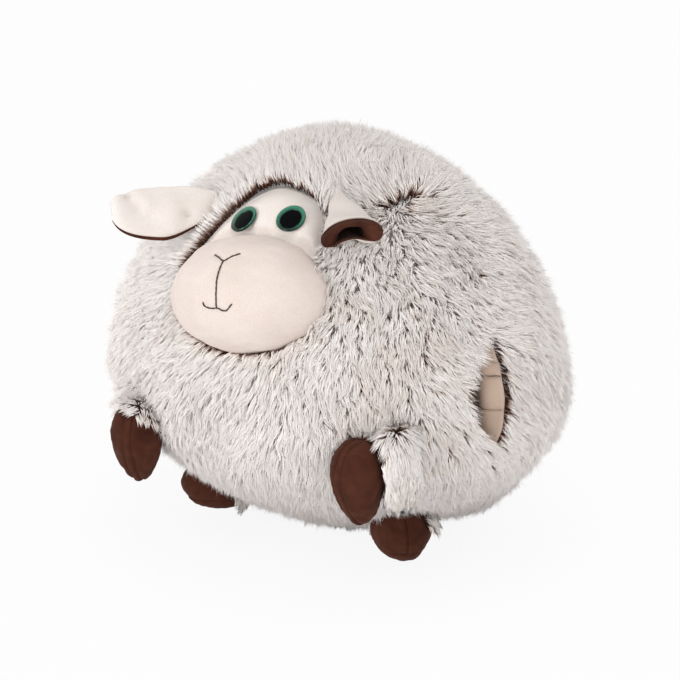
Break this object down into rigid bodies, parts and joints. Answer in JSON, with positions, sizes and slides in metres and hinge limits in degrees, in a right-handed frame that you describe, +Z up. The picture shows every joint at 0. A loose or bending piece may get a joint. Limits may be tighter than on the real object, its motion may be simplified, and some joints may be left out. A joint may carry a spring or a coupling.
{
  "type": "plush sheep",
  "caption": "Round long-pile plush sheep cushion with a hand tunnel through its sides, a velour face, soft ears, arms and feet.",
  "frame": {"origin": "on the floor, in the middle of the flat base", "axes": "+Z up; the sheep looks along -Y; its own left side is +X, along the hand tunnel"},
  "size_m": [0.382, 0.3241, 0.32],
  "materials": {
    "frosted_fur": "long pile, dark brown at the roots and off-white at the tips",
    "cream_velour": "short velour nap",
    "brown_velour": "short velour nap",
    "beige_lining": "short soft nap",
    "polyester_filling": "loose fibre",
    "dark_thread": "twisted embroidery thread",
    "green_iris": "polished",
    "black_pupil": "polished",
    "washer_plastic": "as moulded"
  },
  "bodies": {
    "body": {"base_panel": "frosted_fur", "body_front_panel": "frosted_fur", "body_back_panel": "frosted_fur", "body_left_fore_panel": "frosted_fur", "body_left_rear_panel": "frosted_fur", "body_right_fore_panel": "frosted_fur", "body_right_rear_panel": "frosted_fur", "body_stuffing": "polyester_filling", "forehead_panel": "cream_velour", "forehead_padding": "polyester_filling", "hand_tunnel_lining": "beige_lining", "muzzle_cover": "cream_velour", "muzzle_stuffing": "polyester_filling", "nose_stitching": "dark_thread", "lip_line_stitching": "dark_thread", "mouth_stitching": "dark_thread", "left_eye_iris": "green_iris", "left_eye_pupil": "black_pupil", "left_eye_washer": "washer_plastic", "right_eye_iris": "green_iris", "right_eye_pupil": "black_pupil", "right_eye_washer": "washer_plastic"},
    "left_ear": {"left_ear_front": "cream_velour", "left_ear_back": "brown_velour"},
    "right_ear": {"right_ear_front": "cream_velour", "right_ear_back": "brown_velour"},
    "left_arm": {"left_arm_fur": "frosted_fur", "left_arm_hoof_outer_side": "brown_velour", "left_arm_hoof_gusset": "brown_velour", "left_arm_hoof_inner_side": "brown_velour", "left_arm_stuffing": "polyester_filling"},
    "right_arm": {"right_arm_fur": "frosted_fur", "right_arm_hoof_outer_side": "brown_velour", "right_arm_hoof_gusset": "brown_velour", "right_arm_hoof_inner_side": "brown_velour", "right_arm_stuffing": "polyester_filling"},
    "left_foot": {"left_foot_fur": "frosted_fur", "left_foot_hoof": "brown_velour", "left_foot_sole": "brown_velour", "left_foot_stuffing": "polyester_filling"},
    "right_foot": {"right_foot_fur": "frosted_fur", "right_foot_hoof": "brown_velour", "right_foot_sole": "brown_velour", "right_foot_stuffing": "polyester_filling"}
  },
  "joints": [
    {"name": "left_ear_lift", "type": "hinge", "parent": "body", "child": "left_ear", "pos_m": [0.05838, -0.06564, 0.28627], "axis": [-0.8425, -0.538, -0.0265], "range_deg": [0, 35], "stiffness_Nm_per_rad": 0.1},
    {"name": "right_ear_fold", "type": "hinge", "parent": "body", "child": "right_ear", "pos_m": [-0.06177, -0.09014, 0.26373], "axis": [-0.1184, 0.7372, 0.6652], "range_deg": [-15, 25], "stiffness_Nm_per_rad": 0.1},
    {"name": "left_arm_lift", "type": "hinge", "parent": "body", "child": "left_arm", "pos_m": [0.11492, -0.12416, 0.12886], "axis": [-0.8524, -0.5229, 0], "range_deg": [0, 35], "stiffness_Nm_per_rad": 0.2},
    {"name": "right_arm_lift", "type": "hinge", "parent": "body", "child": "right_arm", "pos_m": [-0.11489, -0.12412, 0.1215], "axis": [-0.8524, 0.5229, 0], "range_deg": [0, 35], "stiffness_Nm_per_rad": 0.2},
    {"name": "left_foot_twist", "type": "hinge", "parent": "body", "child": "left_foot", "pos_m": [0.07473, -0.03529, 0.0291], "axis": [0, 0, 1], "range_deg": [-10, 10], "stiffness_Nm_per_rad": 0.2},
    {"name": "right_foot_twist", "type": "hinge", "parent": "body", "child": "right_foot", "pos_m": [-0.07473, -0.03529, 0.0291], "axis": [0, 0, -1], "range_deg": [-10, 10], "stiffness_Nm_per_rad": 0.2}
  ]
}
